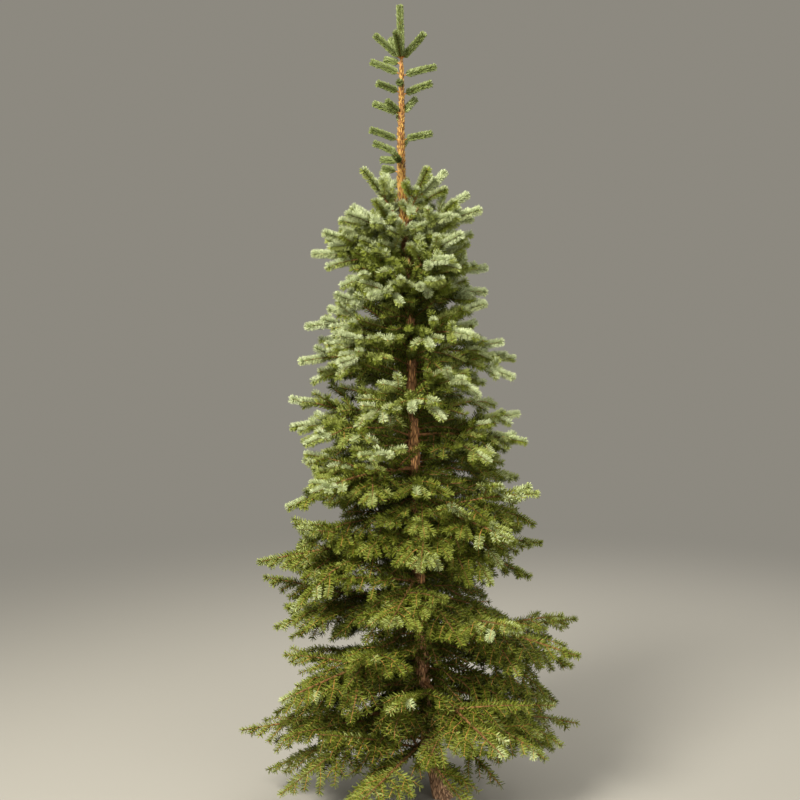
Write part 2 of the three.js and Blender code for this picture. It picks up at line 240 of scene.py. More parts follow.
# Lamps: name, place, size, power and colour
LAMPS = [
    ("key", (-2.4, -3.4, 4.4), 1.9, 600, (1.0, 0.97, 0.91)),
    ("fill", (2.6, -4.0, 1.6), 3.0, 110, (1.0, 0.97, 0.92)),
    ("back", (2.2, 3.8, 3.4), 3.0, 170, (1.0, 0.97, 0.93)),
]
LAMP_AIM = (0, 0, 1.2)

# Camera, placed as the photograph was taken
CAMERA_PLACE = (-0.134, -4.2, 1.672)
CAMERA_PITCH = 5.913
CAMERA_LENS = 63


def mix(low, high, share):
    return low + (high - low) * share


def share_between(low, high, value):
    """How far a value has come from one bound to the other, held between 0 and 1."""
    return float(np.clip((value - low) / (high - low), 0, 1))


def low_share(down, pace=1.5):
    """How low in the crown something is, counted as fully low before the lowest tier."""
    return min(1, pace * down)


def seeded(seed):
    """A repeatable stream of numbers from 0 to 1."""
    word = 2**32
    state = (seed * 2654435 + 97) % word
    first_two = 2
    while True:
        state = (state * 1664525 + 1013904223) % word
        if first_two:
            first_two -= 1
        else:
            yield state / word


def scatter(random):
    return 2 * next(random) - 1


# Trunk shape

def trunk_centre(z):
    """The middle of the trunk at a height: it sweeps from its foot, leans, and bends a little high up."""
    bend = LEADER_BEND * np.exp(-(((z - LEADER_BEND_AT) / LEADER_BEND_SPREAD) ** 2))
    x = -SWEEP * (1 - np.exp(-z / SWEEP_HEIGHT)) - LEAN * z - bend
    y = DEPTH_BEND * np.sin(np.pi * z / TREE_TOP)
    return np.array([x, y, z], float)


def trunk_radius(z, angle=None):
    """The trunk's radius at a height, with the flare's lobes if an angle is given."""
    taper = mix(TRUNK_TIP_RADIUS, TRUNK_BUTT_RADIUS, max(0, 1 - z / TRUNK_TOP) ** TAPER_POWER)
    lobes = 1 if angle is None else 1 + ROOT_LOBE_DEPTH * math.cos(ROOT_LOBES * angle)
    return taper + FLARE * math.exp(-z / FLARE_HEIGHT) * lobes


# Curves

def limb_curve(base, azimuth, swing, length, start_rise, end_rise, steps=ARM_STEPS):
    """A curve that leaves its base at one rise and ends at another, turning sideways on the way."""
    t = (np.arange(steps) + 0.5) / steps
    rise = np.radians(mix(start_rise, end_rise, t))
    turn = np.radians(azimuth + swing * t)
    parts = np.stack([np.cos(turn) * np.cos(rise), np.sin(turn) * np.cos(rise), np.sin(rise)], 1)
    return np.vstack([base, base + np.cumsum(parts, 0) * length / steps])


def point_on(curve, t):
    place = np.minimum(np.asarray(t, float) * (len(curve) - 1), len(curve) - 1 - 1e-9)
    i = place.astype(int)
    share = (place - i)[..., None]
    return curve[i] * (1 - share) + curve[i + 1] * share


def direction_on(curve, t):
    t = np.asarray(t, float)
    reach = 0.5 / (len(curve) - 1)
    ahead = point_on(curve, np.minimum(1, t + reach)) - point_on(curve, np.maximum(0, t - reach))
    return unit(ahead)


def unit(vectors):
    return vectors / np.linalg.norm(vectors, axis=-1, keepdims=True)


def curve_length(curve):
    return np.linalg.norm(np.diff(curve, axis=0), axis=1).sum()


def cross_axes(direction):
    """The two axes square to each direction: a level one to its left and one above it."""
    side = np.cross(UP, direction)
    size = np.linalg.norm(side, axis=-1, keepdims=True)
    side = np.where(size > 1e-3, side / np.maximum(size, 1e-9), [1.0, 0.0, 0.0])
    return side, unit(np.cross(direction, side))


# Space that limbs take, as round-ended rods. A rod is a row: its two ends and its radius.

def rods_along(curve, start, end, radius, parts):
    places = point_on(curve, mix(start, end, np.arange(parts + 1) / parts))
    return np.column_stack([places[:-1], places[1:], np.full(parts, radius)])


def rod_gaps(rod, rods):
    """How far each of the rods is from one rod, skin to skin."""
    u, v, w = rod[3:6] - rod[:3], rods[:, 3:6] - rods[:, :3], rod[:3] - rods[:, :3]
    uu, uv, vv, uw, vw = u @ u, v @ u, (v * v).sum(1), w @ u, (v * w).sum(1)
    spread = uu * vv - uv**2
    s = np.where(spread > 1e-9, np.clip((uv * vw - vv * uw) / np.maximum(spread, 1e-9), 0, 1), 0)
    t = (uv * s + vw) / vv
    held = np.clip(t, 0, 1)
    s = np.where(t == held, s, np.clip((uv * held - uw) / uu, 0, 1))
    between = rod[:3] + u * s[:, None] - rods[:, :3] - v * held[:, None]
    return np.linalg.norm(between, axis=1) - rod[6] - rods[:, 6]


def has_room(rods, taken):
    above_ground = (np.minimum(rods[:, 2], rods[:, 5]) - rods[:, 6] > GROUND_CLEARANCE).all()
    return above_ground and all((rod_gaps(rod, taken) > NEIGHBOUR_GAP).all() for rod in rods)


# The layout of the masses

@dataclass
class Mass:
    """One branch: its stem's curve and its arms' curves."""
    name: str
    tier: int
    random: object
    azimuth: float
    length: float
    start_rise: float
    end_rise: float
    lead: np.ndarray
    hand: int
    arms: list = field(default_factory=list)

    @property
    def down(self):
        return self.tier / (len(TIERS) - 1)

    @property
    def radius(self):
        return STEM_RADIUS + STEM_RADIUS_PER_LENGTH * self.length

    @property
    def reach(self):
        return mix(*SPACE_REACH, self.down)


def plan_mass(tier, place):
    height, count, left, right, start_rise, end_rise = TIERS[tier]
    random = seeded(SEED + tier * 10 + place)
    azimuth = TIER_AZIMUTH + TIER_TURN * tier + 360 * place / count
    side = (1 + math.cos(math.radians(azimuth))) / 2
    reach = mix(left, right, side) * (1 + REACH_SCATTER * scatter(random))
    length = reach / math.cos(math.radians((start_rise + end_rise) / 2))
    swing = SWING * scatter(random)
    base = trunk_centre(height + HEIGHT_SCATTER * scatter(random))
    lead = limb_curve(base, azimuth, swing, length, start_rise, end_rise, CURVE_STEPS)
    hand = 1 if next(random) < 0.5 else -1
    name = f"{tier + 1:02d}{'abcd'[place]}"
    return Mass(name, tier, random, azimuth, length, start_rise, end_rise, lead, hand)


def arm_curve(mass, arm, attempt):
    place, turn, tilt, share = arm
    wander = 1 + attempt
    heading = mass.azimuth + mass.hand * turn + TURN_SCATTER * wander * scatter(mass.random)
    lift = tilt + TILT_SCATTER * wander * scatter(mass.random)
    reach = max(SHORTEST_ARM, mass.length * share * SHRINK**attempt)
    swing = -SWING * mass.hand * np.sign(turn)
    base = point_on(mass.lead, place)
    return limb_curve(base, heading, swing, reach, mass.start_rise + lift, mass.end_rise + lift)


def add_arm(mass, arm, space, own_space, trunk_space):
    """Turns and shortens the arm until it has room, or leaves it out."""
    taken = np.vstack([trunk_space] + [rods for name, rods in space.items() if name != mass.name])
    for attempt in range(TRIES):
        curve = arm_curve(mass, arm, attempt)
        rods = rods_along(curve, 0.1, 1, mass.reach, ARM_STEPS)
        own_rods = rods_along(curve, ARM_FREE_FROM, 1, mass.reach * OWN_REACH_SHARE, 2)
        if has_room(rods, taken) and has_room(own_rods, own_space[mass.name]):
            space[mass.name] = np.vstack([space[mass.name], rods])
            own_space[mass.name] = np.vstack([own_space[mass.name], own_rods])
            mass.arms.append(curve)
            return


def plan_tree():
    """Every stem takes its space first, then each arm in turn on all of them."""
    masses = [plan_mass(tier, place) for tier, row in enumerate(TIERS) for place in range(row[1])]
    levels = [trunk_centre(TRUNK_TOP * i / TRUNK_RODS) for i in range(TRUNK_RODS + 1)]
    radii = [trunk_radius(TRUNK_TOP * (i + 0.5) / TRUNK_RODS, 0) for i in range(TRUNK_RODS)]
    trunk_space = np.column_stack([levels[:-1], levels[1:], radii])
    space, own_space = {}, {}
    for mass in masses:
        clad = rods_along(mass.lead, BARE_SHARE, 1, mass.reach, CURVE_STEPS)
        bare = rods_along(mass.lead, 0, BARE_SHARE, mass.radius, 1)
        own_reach = mass.reach * OWN_REACH_SHARE
        space[mass.name] = np.vstack([clad, bare])
        own_space[mass.name] = rods_along(mass.lead, BARE_SHARE, 1, own_reach, CURVE_STEPS)
    for arm in ARMS:
        for mass in masses:
            add_arm(mass, arm, space, own_space, trunk_space)
    return masses


# Telling outer sprays from inner ones

SHADE_REACH = 0.3  # shares of the crown's reach
SHADE_TO_LIGHT = 0.62
SLIM_TOP_HEIGHTS = (1500, 1800)
SLIM_TOP_EXPOSURE = 0.9
TIP_HEIGHTS = [
    height + (left + right) / 2 * math.tan(math.radians((start + end) / 2))
    for height, _, left, right, start, end in TIERS
]


def exposure(point):
    """From 0 deep in the crown to 1 at its outside, whose reach differs by height and side."""
    across = point[:2] - trunk_centre(point[2])[:2]
    distance = np.linalg.norm(across)
    side = (1 + across[0] / max(1.0, distance)) / 2
    left, right = (np.interp(point[2], TIP_HEIGHTS[::-1], [row[i] for row in TIERS][::-1]) for i in (2, 3))
    outside = (distance / mix(left, right, side) - SHADE_REACH) / SHADE_TO_LIGHT
    slim_top = min(SLIM_TOP_EXPOSURE, share_between(*SLIM_TOP_HEIGHTS, point[2]))
    return float(np.clip(max(outside, slim_top), 0, 1))


# Finishes. Needle colours run from painted shade on the inside of the crown to the bloom on its outer tips,
# lighter towards the outside as painted light.

COOL_FROM = 1050
COOL_SCATTER = 110
NEEDLE_COLOURS = {
    "cool_shade": (0.050, 0.062, 0.007),
    "cool_deep": (0.126, 0.153, 0.015),
    "cool_green": (0.204, 0.238, 0.033),
    "cool_fresh": (0.278, 0.314, 0.076),
    "cool_sage": (0.365, 0.405, 0.188),
    "cool_frost": (0.465, 0.515, 0.285),
    "warm_shade": (0.044, 0.054, 0.004),
    "warm_deep": (0.080, 0.097, 0.006),
    "warm_moss": (0.106, 0.127, 0.009),
    "warm_green": (0.138, 0.162, 0.014),
    "warm_leaf": (0.177, 0.203, 0.024),
    "warm_olive": (0.228, 0.258, 0.046),
    "warm_sage": (0.304, 0.342, 0.113),
    "warm_frost": (0.408, 0.461, 0.221),
    "leader_green": (0.175, 0.212, 0.056),
    "leader_pale": (0.340, 0.390, 0.170),
    "pegs_gold": (0.560, 0.340, 0.090),
    "pegs_brown": (0.270, 0.120, 0.035),
}
TINTS = {kind: [name for name in NEEDLE_COLOURS if name.startswith(kind)] for kind in ("cool", "warm")}


def plain_material(name, colour, roughness):
    material = bpy.data.materials.new(name)
    material.use_nodes = True
    shader = material.node_tree.nodes["Principled BSDF"]
    shader.inputs["Base Color"].default_value = (*colour, 1)
    shader.inputs["Roughness"].default_value = roughness
    shader.inputs["Specular IOR Level"].default_value = 0.18
    return material


def add_object(name, data):
    """A new object in the scene."""
    added = bpy.data.objects.new(name, data)
    bpy.context.scene.collection.objects.link(added)
    return added


# Meshes from arrays of points and triangles

class Pile:
    """Triangles that are gathered for one joined piece."""

    def __init__(self):
        self.points, self.faces, self.count = [], [], 0

    def add(self, points, faces):
        self.points.append(points)
        self.faces.append(faces + self.count)
        self.count += len(points)

    def make(self, name, material, slot, nodes):
        points = np.concatenate(self.points) * MM
        faces = np.concatenate(self.faces)
        mesh = bpy.data.meshes.new(name)
        mesh.vertices.add(len(points))
        mesh.vertices.foreach_set("co", points.astype(np.float32).ravel())
        mesh.loops.add(faces.size)
        mesh.loops.foreach_set("vertex_index", faces.astype(np.int32).ravel())
        mesh.polygons.add(len(faces))
        mesh.polygons.foreach_set("loop_start", np.arange(0, faces.size, 3, dtype=np.int32))
        mesh.update(calc_edges=True)
        mesh.materials.append(material)
        dress(add_object(name, mesh), nodes)


def dress(piece, nodes):
    """Fixes a finished piece to the tree in place of the nodes that it stands for."""
    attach(piece, "root")
    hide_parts(*nodes)


@cache
def tube_faces(rings, sides):
    """Triangles of a closed tube of rings."""
    faces = []
    for ring in range(rings - 1):
        for side in range(sides):
            a, b = ring * sides + side, ring * sides + (side + 1) % sides
            faces += [(a, b, b + sides), (a, b + sides, a + sides)]
    last = (rings - 1) * sides
    for side in range(1, sides - 1):
        faces += [(0, side + 1, side), (last, last + side, last + side + 1)]
    return np.array(faces)


def add_tube(pile, curve, radii, sides=4):
    """A tapering twig along a curve, with one radius for each of its points."""
    side, lift = cross_axes(direction_on(curve, np.linspace(0, 1, len(curve))))
    angle = 2 * np.pi * np.arange(sides) / sides
    across = np.cos(angle)[None, :, None] * side[:, None] + np.sin(angle)[None, :, None] * lift[:, None]
    points = curve[:, None] + across * np.asarray(radii)[:, None, None]
    pile.add(points.reshape(-1, 3), tube_faces(len(curve), sides))


# A needle is a slim blade that narrows to a blunt tip: two triangles.
NEEDLE_FACES = np.array([(0, 1, 2), (0, 2, 3)])
NEEDLE_TIP_SHARE = 0.5
GOLDEN_SHARE = 0.381966


@dataclass
class Look:
    """How needles stand on a stretch of twig, in degrees. A low gather parts them to its sides."""
    per_mm: float
    length: float
    width: float
    lean: float
    tip_lean: float
    wrap: float
    upsweep: float
    facing: float = 90
    gather: float = 1
    roll: float = 1.1
    crown: int = 0


def add_needles(pile, roots, directions, along, length, width, roll):
    """Blades from their roots. Each lies in the twig's plane, but for its roll about its own length."""
    flat = unit(along - (along * directions).sum(1, keepdims=True) * directions + 1e-6)
    edge = np.cross(directions, flat)
    across = np.cos(roll)[:, None] * flat + np.sin(roll)[:, None] * edge
    half = across * width / 2
    tips = roots + directions * length[:, None]
    narrow = half * NEEDLE_TIP_SHARE
    points = np.stack([roots - half, tips - narrow, tips + narrow, roots + half], 1).reshape(-1, 3)
    faces = NEEDLE_FACES[None] + 4 * np.arange(len(roots))[:, None, None]
    pile.add(points, faces.reshape(-1, 3))


def clad(pile, curve, start, end, look, rng):
    """Needles round a curve from start to end, with a rosette at its tip if look asks."""
    count = max(2, round(look.per_mm * (end - start) * curve_length(curve)))
    t = mix(start, end, (np.arange(count) + rng.random(count)) / count)
    lean = mix(look.lean, look.tip_lean, ((t - start) / (end - start)) ** 3)
    if look.crown:
        t = np.append(t, np.full(look.crown, end))
        lean = np.append(lean, 1.1 * look.lean * np.sqrt(rng.random(look.crown)))
    along = direction_on(curve, t)
    side, lift = cross_axes(along)
    turn = (np.arange(len(t)) * GOLDEN_SHARE + rng.random()) % 1 - 0.5
    turn = 0.5 * np.sign(turn) * np.abs(2 * turn) ** look.gather
    wrap = mix(look.wrap, 360, along[:, 2] ** 2)
    around = np.radians(look.facing + turn * wrap + rng.normal(0, 6, len(t)))
    lean = np.radians(lean + rng.normal(0, 4, len(t)))
    out = np.cos(around)[:, None] * side + np.sin(around)[:, None] * lift
    direction = np.cos(lean)[:, None] * along + np.sin(lean)[:, None] * out
    direction = unit(direction + look.upsweep * np.sin(lean)[:, None] * UP)
    length = look.length * (1 + rng.normal(0, 0.06, len(t)))
    roll = rng.uniform(-look.roll, look.roll, len(t))
    add_needles(pile, point_on(curve, t), direction, along, length, look.width, roll)


# Trunk

TRUNK_SIDES = 20
TRUNK_STEP = 24
PLATE_SIZE = (0.011, 0.011, 0.030)
PLATE_RELIEF = 0.0042
LUMP_SIZE = (0.05, 0.05, 0.09)
LUMP_RELIEF = 0.006
LEADER_PEG_ROOM = 2
LEADER_FOOT = (1700, 1800)


def bark_radius(z):
    """The leader's bark is slimmer than its solid, whose girth takes in the old needles on it."""
    return trunk_radius(z) - LEADER_PEG_ROOM * share_between(*LEADER_FOOT, z)


def add_round(sides, radius, place):
    """A level round face, to be drawn out."""
    bpy.ops.object.select_all(action="DESELECT")
    bpy.ops.mesh.primitive_circle_add(vertices=sides, radius=radius, fill_type="NGON", location=place)
    return bpy.context.object


def close_round():
    """Ends the drawing out, with all faces outward."""
    bpy.ops.mesh.select_all(action="SELECT")
    bpy.ops.mesh.normals_make_consistent(inside=False)
    bpy.ops.object.mode_set(mode="OBJECT")


def trunk_by_rings():
    """A round cut at the ground, drawn up the trunk's curve ring by ring."""
    trunk = add_round(TRUNK_SIDES, trunk_radius(0) * MM, trunk_centre(0) * MM)
    trunk.name = trunk.data.name = "trunk_bark"
    bpy.ops.object.mode_set(mode="EDIT")
    heights = np.append(np.arange(0, TRUNK_TOP, TRUNK_STEP), TRUNK_TOP)
    for low, high in zip(heights, heights[1:]):
        rise = (trunk_centre(high) - trunk_centre(low)) * MM
        bpy.ops.mesh.extrude_region_move(TRANSFORM_OT_translate={"value": rise})
        narrowing = bark_radius(high) / bark_radius(low)
        bpy.ops.transform.resize(value=(narrowing, narrowing, 1), center_override=trunk_centre(high) * MM)
    close_round()
    bpy.ops.object.transform_apply(location=True, rotation=True, scale=True)
    return trunk


def shape_root_flare(trunk):
    """Presses the flare into lobes, and creases the edge of the flat cut."""
    shape = bmesh.new()
    shape.from_mesh(trunk.data)
    crease = shape.edges.layers.float.new("crease_edge")
    for vert in shape.verts:
        centre = Vector(trunk_centre(vert.co.z / MM) * MM)
        across = vert.co - centre
        angle = math.atan2(across.y, across.x)
        flare = FLARE * math.exp(-vert.co.z / MM / FLARE_HEIGHT)
        lobe = flare * ROOT_LOBE_DEPTH * math.cos(ROOT_LOBES * angle)
        vert.co += across.normalized() * lobe * MM
    for edge in shape.edges:
        if all(vert.co.z < 1e-5 for vert in edge.verts):
            edge[crease] = 1
    shape.to_mesh(trunk.data)
    shape.free()


def relief_weights(piece):
    """How much relief each point takes: none at the flat cut, less where the stem is thin."""
    group = piece.vertex_groups.new(name="relief")
    for vert in piece.data.vertices:
        z = vert.co.z / MM
        thick = trunk_radius(min(z, TRUNK_TOP)) / TRUNK_BUTT_RADIUS
        group.add([vert.index], float(np.clip(min(thick, z / 12), 0, 1)), "REPLACE")


def displace(piece, kind, size, strength, **settings):
    """Raises the surface by a cloud or cell pattern of the given size, and applies it."""
    grain = add_object("grain", None)
    grain.scale = size
    bpy.context.view_layer.update()
    pattern = bpy.data.textures.new("relief", kind)
    pattern.noise_scale = 1
    for key, value in settings.items():
        setattr(pattern, key, value)
    modifier = piece.modifiers.new("relief", "DISPLACE")
    modifier.texture = pattern
    modifier.texture_coords = "OBJECT"
    modifier.texture_coords_object = grain
    modifier.vertex_group = "relief"
    modifier.strength = strength
    modifier.mid_level = 0.5
    apply_modifier(piece, modifier)
    bpy.data.objects.remove(grain)


def subdivide(piece, kind, levels):
    modifier = piece.modifiers.new("finer", "SUBSURF")
    modifier.subdivision_type = kind
    modifier.levels = modifier.render_levels = levels
    apply_modifier(piece, modifier)


def apply_modifier(piece, modifier):
    bpy.ops.object.select_all(action="DESELECT")
    bpy.context.view_layer.objects.active = piece
    bpy.ops.object.modifier_apply(modifier=modifier.name)


LIMB_SIDES = 8
LIMB_RINGS = 16
LIMB_WRINKLE = (0.5, 0.5, 0.05)
LIMB_RELIEF = 0.22


def make_limb_bark():
    """The points and triangles of a straight limb with wrinkled bark, one unit long and in radius."""
    limb = add_round(LIMB_SIDES, 1, (0, 0, 0))
    bpy.ops.object.mode_set(mode="EDIT")
    for _ in range(LIMB_RINGS):
        bpy.ops.mesh.extrude_region_move(TRANSFORM_OT_translate={"value": (0, 0, 1 / LIMB_RINGS)})
    bpy.ops.mesh.select_all(action="SELECT")
    bpy.ops.mesh.quads_convert_to_tris()
    close_round()
    subdivide(limb, "SIMPLE", 1)
    limb.vertex_groups.new(name="relief").add(range(len(limb.data.vertices)), 1, "REPLACE")
    displace(limb, "CLOUDS", LIMB_WRINKLE, LIMB_RELIEF)
    limb.data.calc_loop_triangles()
    points = np.array([vert.co[:] for vert in limb.data.vertices])
    faces = np.array([triangle.vertices[:] for triangle in limb.data.loop_triangles])
    bpy.data.objects.remove(limb)
    return points, faces


def make_trunk():
    trunk = trunk_by_rings()
    shape_root_flare(trunk)
    subdivide(trunk, "CATMULL_CLARK", 2)
    relief_weights(trunk)
    displace(trunk, "CLOUDS", LUMP_SIZE, LUMP_RELIEF)
    displace(trunk, "VORONOI", PLATE_SIZE, PLATE_RELIEF, weight_1=-1, weight_2=1)
    trunk.data.materials.append(bark_material())
    dress(trunk, ["trunk"])


# Growing the crown

piles = {name: Pile() for name in NEEDLE_COLOURS}
wood, twigs, buds = Pile(), Pile(), Pile()
limb_bark, limb_bark_faces = make_limb_bark()


@dataclass
class Site:
    """Where a limb stands: how far down the crown it belongs, and how bright its branch is."""
    down: float
    tone: float


def ladder(place, rng):
    """Needles are cool high in the crown and warm low down, with no clear line between them."""
    return "cool" if place[2] + rng.normal(0, COOL_SCATTER) > COOL_FROM else "warm"


def tint_of(place, brightness, rng):
    """The tint for a spray, from 0 for the darkest to 1 for the palest."""
    tints = TINTS[ladder(place, rng)]
    return piles[tints[int(np.clip(brightness * len(tints), 0, len(tints) - 1))]]


def new_paleness(tip, up, site, rng):
    """This year's growth is pale outside the crown and high up, with painted shade inside it and painted
    light on upward shoots.
    """
    high = share_between(*PALE_HEIGHTS, tip[2])
    outside = mix(0.44, 1, high**1.4) - 0.25 * share_between(*TOP_HEIGHTS, tip[2])
    if rng.random() < PALE_TIPS:
        outside = PALE_TIP
    paleness = mix(0.16, outside, exposure(tip) ** mix(2, 1.7, high))
    return paleness + 0.08 * up + site.tone + rng.normal(0, 0.09)


def old_paleness(place, site, rng):
    """Older needles are dark, with painted shade inside the crown and painted light outside it and near the
    ground.
    """
    low = share_between(*LOW_HEIGHTS, place[2])
    return 0.1 + 0.38 * exposure(place) + 0.1 * low + site.tone + rng.normal(0, 0.07)


def clad_in_two_tints(paleness, curve, start, end, look, rng):
    """Lighter and darker needles on a curve. On a full brush the lighter ones are on top as painted light,
    the darker ones beneath as painted shade.
    """
    half = replace(look, per_mm=look.per_mm / 2, crown=look.crown // 2)
    halves = [(-TINT_SPREAD, half), (TINT_SPREAD, half)]
    if look.facing > 0:
        halves = [(step, replace(half, wrap=look.wrap / 2, facing=facing)) for step, facing in BRUSH_PAINTED_LIGHT_AND_SHADE]
    for step, half in halves:
        clad(tint_of(point_on(curve, end), paleness + step, rng), curve, start, end, half, rng)


def add_limb(curve, radii):
    """The bark template, stretched and bent along a limb."""
    along = np.clip(limb_bark[:, 2], 0, 1)
    way = direction_on(curve, along)
    side, lift = cross_axes(way)
    radius = np.interp(along, np.linspace(0, 1, len(radii)), radii)[:, None]
    points = point_on(curve, along) + radius * (limb_bark[:, :1] * side + limb_bark[:, 1:2] * lift)
    wood.add(points, limb_bark_faces)


def add_bud(curve):
    """A small pointed bud at the end of a shoot."""
    tip, along = curve[-1], direction_on(curve, 1.0)
    bud = np.array([tip, tip + 2.5 * along, tip + 6 * along])
    add_tube(buds, bud, [1.2, 1.9, 0.2], sides=3)


def old_look(place, down, twig):
    """Broad and close deep in the crown. On outer twigs they stand like a comb, more so lower down."""
    outer = exposure(place)
    comb = twig * outer * low_share(down)
    high_per_mm = mix(1.4, 1.5, outer)
    low_per_mm = mix(0.85, mix(0.9, 0.56, comb), outer)
    return Look(per_mm=mix(high_per_mm, low_per_mm, low_share(down, 1.4)), length=18,
                width=mix(4.2, 2.3, outer), lean=56, tip_lean=48, wrap=mix(340, 250, comb),
                facing=-90, gather=mix(0.95, 0.5, comb), roll=mix(0.9, 0.45, comb),
                upsweep=mix(0.3, 0.08, down))


def new_look(outer, down):
    """A dense brush with a round end."""
    return Look(per_mm=mix(1.3, 5.4, outer**2) * mix(1, 0.18, down), length=mix(16.5, 15, down),
                width=mix(2.3, 2.6, down), lean=65, tip_lean=62, wrap=mix(350, 280, down),
                facing=mix(90, -90, round(down)), gather=mix(1, 0.6, down), roll=mix(1.1, 0.5, down),
                upsweep=0.06, crown=round(mix(8, 84, outer**2) * mix(1, 0.12, down)))


def clad_limb(curve, bare, new_length, site, rng, twig=0):
    """Needles on one limb: dark ones on the old wood, a pale brush on this year's growth."""
    length = curve_length(curve)
    new_from = max(bare, 1 - new_length / length)
    tip = curve[-1]
    if new_from - bare > 0.06:
        parts = max(1, round((new_from - bare) * length / OLD_STRETCH))
        for part in range(parts):
            start, end = (mix(bare, new_from, (part + step) / parts) for step in (0, 1))
            middle = point_on(curve, (start + end) / 2)
            look = old_look(middle, site.down, twig)
            clad_in_two_tints(old_paleness(middle, site, rng), curve, start, end, look, rng)
    # shoots that point up are painted lighter, as painted light from above
    up = max(0, direction_on(curve, 1.0)[2])
    look = new_look(exposure(tip), site.down)
    clad_in_two_tints(new_paleness(tip, up, site, rng), curve, new_from, 1, look, rng)
    if exposure(tip) > BUDS_FROM_EXPOSURE:
        add_bud(curve)


def twig_curve(base, along, heading, length, site):
    """A twig that turns a little towards the limb's own way, and up or, low in the crown, down."""
    bend = mix(*TWIG_BEND, site.down) * UP
    points = [base]
    for step in range(2):
        way = unit(heading + step * (0.25 * along + bend))
        points.append(points[-1] + way * length / 2)
    return np.array(points)


def side_heading(along, hand, spread, tilt):
    """A heading that leaves a limb to one side, spread from its way and tilted up."""
    side, lift = cross_axes(along)
    spread, tilt = math.radians(spread), math.radians(tilt)
    out = hand * math.cos(tilt) * side + math.sin(tilt) * lift
    return unit(math.cos(spread) * along + math.sin(spread) * out)


def hides_trunk(curve):
    """Whether a curve comes in front of a part of the trunk that the photograph shows."""
    return any(
        y < -WINDOW_DEPTH and low <= z < high and abs(x - trunk_centre(z)[0]) < wide
        for x, y, z in curve[1:] for wide, low, high in WINDOWS)


def grow_twig(base, along, heading, length, site, rng, forks=True):
    """A clad twig that may fork once, left out where it would touch the ground or hide the trunk."""
    curve = twig_curve(base, along, heading, length, site)
    if curve[-1][2] < LOWEST_TWIG or hides_trunk(curve):
        return
    new_length = mix(*NEW_ON_TWIG, site.down) * rng.uniform(0.9, 1.1)
    new_length = new_length if length > 1.25 * new_length else length
    clad_limb(curve, 0.03, new_length, site, rng, twig=1)
    radius = mix(*TWIG_RADIUS, site.down) + 0.006 * length
    add_tube(twigs, curve, np.linspace(radius, TWIG_TIP_RADIUS, len(curve)), sides=3)
    if forks and length > mix(*FORK_FROM, low_share(site.down)):
        t = 1 - FORK_AT / length
        fork, fork_along = point_on(curve, t), direction_on(curve, t)
        for hand in (1, -1):
            way = side_heading(fork_along, hand, TWIG_SPREAD + rng.normal(0, 5), rng.normal(0, 14))
            fork_length = FORK_AT * rng.uniform(0.7, 0.9)
            grow_twig(fork, fork_along, way, fork_length, site, rng, forks=False)


def grow_side_twigs(curve, bare, site, rng):
    """Pairs of side twigs, longer towards the foot of the limb."""
    length = curve_length(curve)
    gap = mix(*NODE_GAP, low_share(site.down)) * rng.uniform(0.92, 1.08)
    tilts = TWIG_TILTS[ladder(curve[-1], rng)]
    step = rng.integers(len(tilts))
    beyond = gap
    while length - beyond > bare * length:
        t = 1 - beyond / length
        if exposure(point_on(curve, t)) >= mix(0.12, 0, site.down):
            for hand in (1, -1):
                step += 1
                share = mix(*TWIG_SHARE, site.down)
                reach = min(mix(*LONGEST_TWIG, site.down), max(SHORTEST_TWIG, share * beyond))
                start = np.clip(t + rng.normal(0, 3) / length, 0, 1)
                along = direction_on(curve, start)
                tilt = tilts[step % len(tilts)] + rng.normal(0, 5)
                heading = side_heading(along, hand, TWIG_SPREAD + rng.normal(0, 5), tilt)
                grow_twig(point_on(curve, start), along, heading, reach * rng.uniform(0.86, 1.1), site, rng)
        beyond += gap


def grow_spurs(curve, site, rng):
    """Short shoots of this year, dotted along the outer part of a limb."""
    length = curve_length(curve)
    for beyond in np.arange(1.6 * SPUR_GAP, length, SPUR_GAP):
        t = float(np.clip(1 - (beyond + rng.normal(0, 8)) / length, 0, 1))
        if exposure(point_on(curve, t)) < SPURS_FROM_EXPOSURE:
            return
        hand = 1 if rng.random() < 0.5 else -1
        way = side_heading(direction_on(curve, t), hand, rng.normal(62, 8), rng.uniform(-40, 90))
        spur = np.array([point_on(curve, t), point_on(curve, t) + way * rng.uniform(*SPUR_LENGTH)])
        look = new_look(exposure(spur[-1]), site.down)
        clad_in_two_tints(new_paleness(spur[-1], 0, site, rng), spur, 0.2, 1, look, rng)


def grow_branch(curve, bare, radii, site, rng, twigs_from=0.1, barked=False):
    """One limb with its needles, side twigs and wood."""
    clad_limb(curve, bare, mix(*NEW_ON_LIMB, site.down) * rng.uniform(0.95, 1.1), site, rng)
    grow_side_twigs(curve, twigs_from, site, rng)
    if site.down < SPURS_ABOVE:
        grow_spurs(curve, site, rng)
    if barked:
        add_limb(curve, radii)
    else:
        add_tube(wood, curve, radii, sides=6)


def from_ahead(azimuth):
    """How far an azimuth turns away from straight ahead, in degrees."""
    return abs((azimuth + 90 + 180) % 360 - 180)


def grow_mass(mass, rng):
    """The stem of a mass and its arms."""
    site = Site(mass.down, rng.normal(0, 0.035))
    stem = point_on(mass.lead, np.linspace(0, 1, STEM_POINTS))
    radii = mass.radius * np.linspace(1, STEM_TIP_SHARE, STEM_POINTS)
    bare = BARE_SHARE if mass.tier else TOP_BARE_SHARE
    grow_branch(stem, bare, radii, site, rng, twigs_from=bare, barked=True)
    arms = mass.arms if mass.tier else mass.arms[:TOP_ARMS]
    for arm in arms:
        radii = np.linspace(mass.radius * ARM_RADIUS_SHARE, LIMB_TIP_RADIUS, len(arm))
        arm_site = Site(mass.down, site.tone + rng.normal(0, 0.03))
        grow_branch(arm, ARM_BARE_SHARE, radii, arm_site, rng, twigs_from=mix(0.4, 0.08, mass.down))


